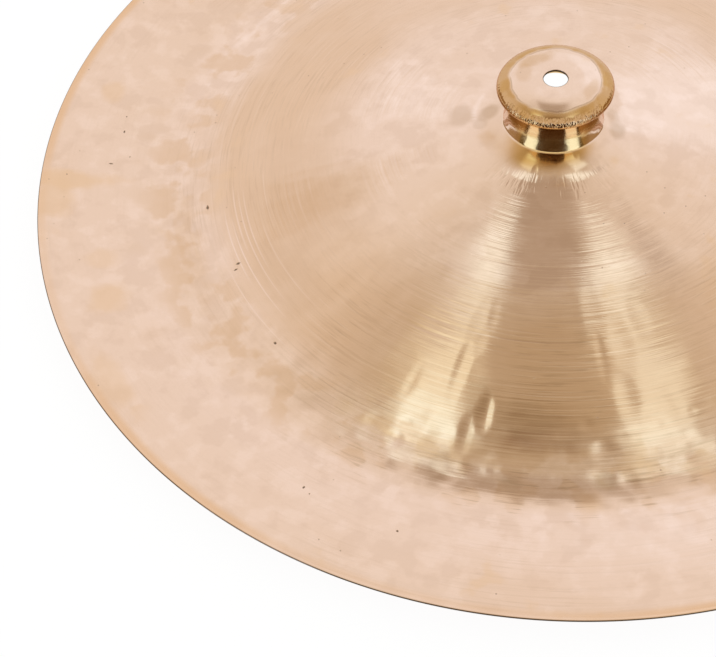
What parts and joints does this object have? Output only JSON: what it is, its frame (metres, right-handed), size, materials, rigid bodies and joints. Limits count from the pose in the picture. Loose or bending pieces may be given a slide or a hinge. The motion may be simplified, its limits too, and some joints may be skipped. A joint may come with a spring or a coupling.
{
  "type": "china cymbal",
  "caption": "Round china cymbal of hammered bronze: a hat-shaped bell with a rod hole, a shallow domed bow, a rounded crease and an upturned flange.",
  "frame": {"origin": "on the cymbal's axis, level with the lowest ring of the crease, which the cymbal stands on", "axes": "+Z along the cymbal's axis, the way the bell points; X and Y in the plane of the crease, all directions alike"},
  "size_m": [0.508, 0.508, 0.0544],
  "materials": {
    "bell_bronze": "hammered, lathe-turned and polished bell bronze, glossy on the bell"
  },
  "bodies": {
    "root": {"cymbal": "bell_bronze"}
  },
  "joints": []
}
